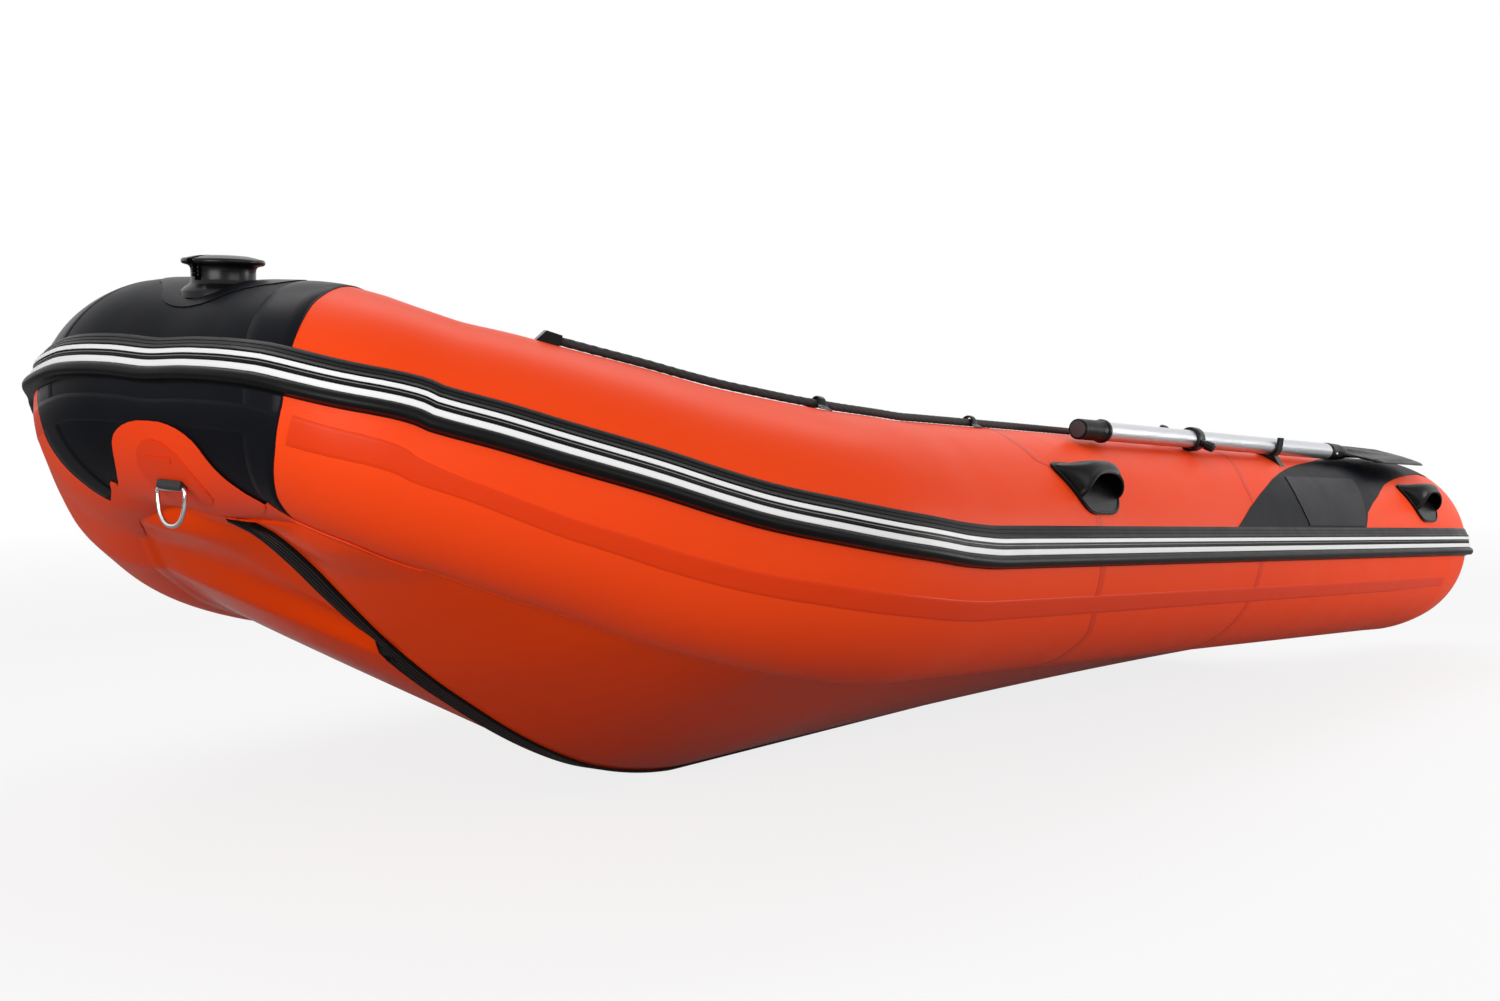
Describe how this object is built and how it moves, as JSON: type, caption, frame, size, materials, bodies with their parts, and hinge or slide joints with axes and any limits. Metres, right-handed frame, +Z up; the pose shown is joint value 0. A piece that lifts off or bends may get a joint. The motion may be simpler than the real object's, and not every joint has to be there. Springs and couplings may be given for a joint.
{
  "type": "inflatable boat",
  "caption": "Inflatable boat with raised blunt bow, stern cones, rub rail, lifelines, carry handles, notched transom, sectional floor, sliding benches and stowed oars",
  "frame": {"origin": "bottom centre of the boat standing on its keel", "axes": "+X from the stern to the bow, +Y to port, +Z up"},
  "size_m": [3.6232, 1.6872, 0.9101],
  "materials": {
    "orange_pvc": "smooth coated fabric, satin",
    "black_pvc": "smooth coated fabric, satin",
    "black_rubber": "moulded, satin",
    "black_plastic": "moulded, glossy",
    "black_rope": "braided rope, matt",
    "brushed_aluminium": "brushed and anodised",
    "chrome": "polished",
    "marine_plywood": "varnished plywood",
    "floor_plywood": "painted plywood"
  },
  "bodies": {
    "hull": {"tube_port": "orange_pvc", "tube_starboard": "orange_pvc", "tube_bow": "black_pvc", "rub_rail": "black_rubber", "hull_skin": "orange_pvc", "keel_guard": "black_rubber", "transom": "marine_plywood", "motor_plate": "black_plastic", "drain_body": "black_plastic", "floorboard_a": "floor_plywood", "floorboard_b": "floor_plywood", "floorboard_c": "floor_plywood", "stringer_port": "brushed_aluminium", "stringer_starboard": "brushed_aluminium", "keel_tube": "black_pvc", "valve_keel": "black_plastic", "seat_rail_port": "black_rubber", "seat_rail_starboard": "black_rubber", "oarlock_base_port": "black_plastic", "oarlock_base_starboard": "black_plastic", "oar_clip_port": "black_plastic", "oar_clip_starboard": "black_plastic", "lifeline_port": "black_rope", "lifeline_starboard": "black_rope", "eyelet_fore_port": "black_plastic", "eyelet_fore_starboard": "black_plastic", "eyelet_aft_port": "black_plastic", "eyelet_aft_starboard": "black_plastic", "line_end_fore_port": "black_plastic", "line_end_fore_starboard": "black_plastic", "line_end_aft_port": "black_plastic", "line_end_aft_starboard": "black_plastic", "handle_fore_port": "black_rubber", "handle_fore_starboard": "black_rubber", "handle_aft_port": "black_rubber", "handle_aft_starboard": "black_rubber", "bollard": "black_plastic", "bow_ring_patch": "orange_pvc", "valve_body_port": "black_plastic", "valve_body_starboard": "black_plastic", "valve_body_bow": "black_plastic"},
    "bench_aft": {"bench_aft": "marine_plywood"},
    "bench_fore": {"bench_fore": "marine_plywood"},
    "bow_ring": {"bow_ring": "chrome"},
    "drain_cap": {"drain_cap": "black_plastic"},
    "valve_cap_port": {"valve_cap_port": "black_plastic"},
    "valve_cap_starboard": {"valve_cap_starboard": "black_plastic"},
    "valve_cap_bow": {"valve_cap_bow": "black_plastic"},
    "yoke_port": {"oarlock_yoke_port": "black_plastic"},
    "oar_port": {"oar_collar_port": "black_plastic", "oar_shaft_port": "brushed_aluminium", "oar_grip_port": "black_rubber", "oar_blade_port": "black_plastic"},
    "knob_port": {"oar_knob_port": "black_plastic"},
    "yoke_starboard": {"oarlock_yoke_starboard": "black_plastic"},
    "oar_starboard": {"oar_collar_starboard": "black_plastic", "oar_shaft_starboard": "brushed_aluminium", "oar_grip_starboard": "black_rubber", "oar_blade_starboard": "black_plastic"},
    "knob_starboard": {"oar_knob_starboard": "black_plastic"}
  },
  "joints": [
    {"name": "bench_aft_slide", "type": "slide", "parent": "hull", "child": "bench_aft", "axis": [0.9979, 0, 0.0649], "range_m": [0, 0.25]},
    {"name": "bench_fore_slide", "type": "slide", "parent": "hull", "child": "bench_fore", "axis": [0.9979, 0, 0.0649], "range_m": [0, 0.25]},
    {"name": "bow_ring_swing", "type": "hinge", "parent": "hull", "child": "bow_ring", "pos_m": [1.75912, 0, 0.57554], "axis": [0, -1, 0], "range_deg": [-30, 100]},
    {"name": "drain_cap_twist", "type": "hinge", "parent": "hull", "child": "drain_cap", "pos_m": [-1.21605, 0.12, 0.0844], "axis": [-0.9979, 0, -0.0649], "range_deg": [0, 90]},
    {"name": "oarlock_tilt_port", "type": "hinge", "parent": "hull", "child": "yoke_port", "pos_m": [-0.13582, 0.63459, 0.60925], "axis": [0.9979, 0, 0.0649], "range_deg": [0, 15]},
    {"name": "oar_swivel_port", "type": "hinge", "parent": "yoke_port", "child": "oar_port", "pos_m": [-0.13582, 0.63459, 0.60925], "axis": [0.061, -0.342, -0.9377], "range_deg": [0, 90], "deforming": ["oar_clip_port"]},
    {"name": "oar_knob_twist_port", "type": "hinge", "parent": "oar_port", "child": "knob_port", "pos_m": [-0.13547, 0.7, 0.60391], "axis": [0.0222, 0.9397, -0.3413], "range_deg": [0, 90]},
    {"name": "valve_cap_twist_port", "type": "hinge", "parent": "hull", "child": "valve_cap_port", "pos_m": [-1.05824, 0.43013, 0.43169], "axis": [-0.0324, -0.866, 0.4989], "range_deg": [0, 90]},
    {"name": "oarlock_tilt_starboard", "type": "hinge", "parent": "hull", "child": "yoke_starboard", "pos_m": [-0.13582, -0.63459, 0.60925], "axis": [-0.9979, 0, -0.0649], "range_deg": [0, 15]},
    {"name": "oar_swivel_starboard", "type": "hinge", "parent": "yoke_starboard", "child": "oar_starboard", "pos_m": [-0.13582, -0.63459, 0.60925], "axis": [-0.061, -0.342, 0.9377], "range_deg": [0, 90], "deforming": ["oar_clip_starboard"]},
    {"name": "oar_knob_twist_starboard", "type": "hinge", "parent": "oar_starboard", "child": "knob_starboard", "pos_m": [-0.13547, -0.7, 0.60391], "axis": [0.0222, -0.9397, -0.3413], "range_deg": [0, 90]},
    {"name": "valve_cap_twist_starboard", "type": "hinge", "parent": "hull", "child": "valve_cap_starboard", "pos_m": [-1.05824, -0.43013, 0.43169], "axis": [-0.0324, 0.866, 0.4989], "range_deg": [0, 90]},
    {"name": "valve_cap_twist_bow", "type": "hinge", "parent": "hull", "child": "valve_cap_bow", "pos_m": [1.45953, 0, 0.72963], "axis": [-0.9807, 0, 0.1956], "range_deg": [0, 90]}
  ]
}
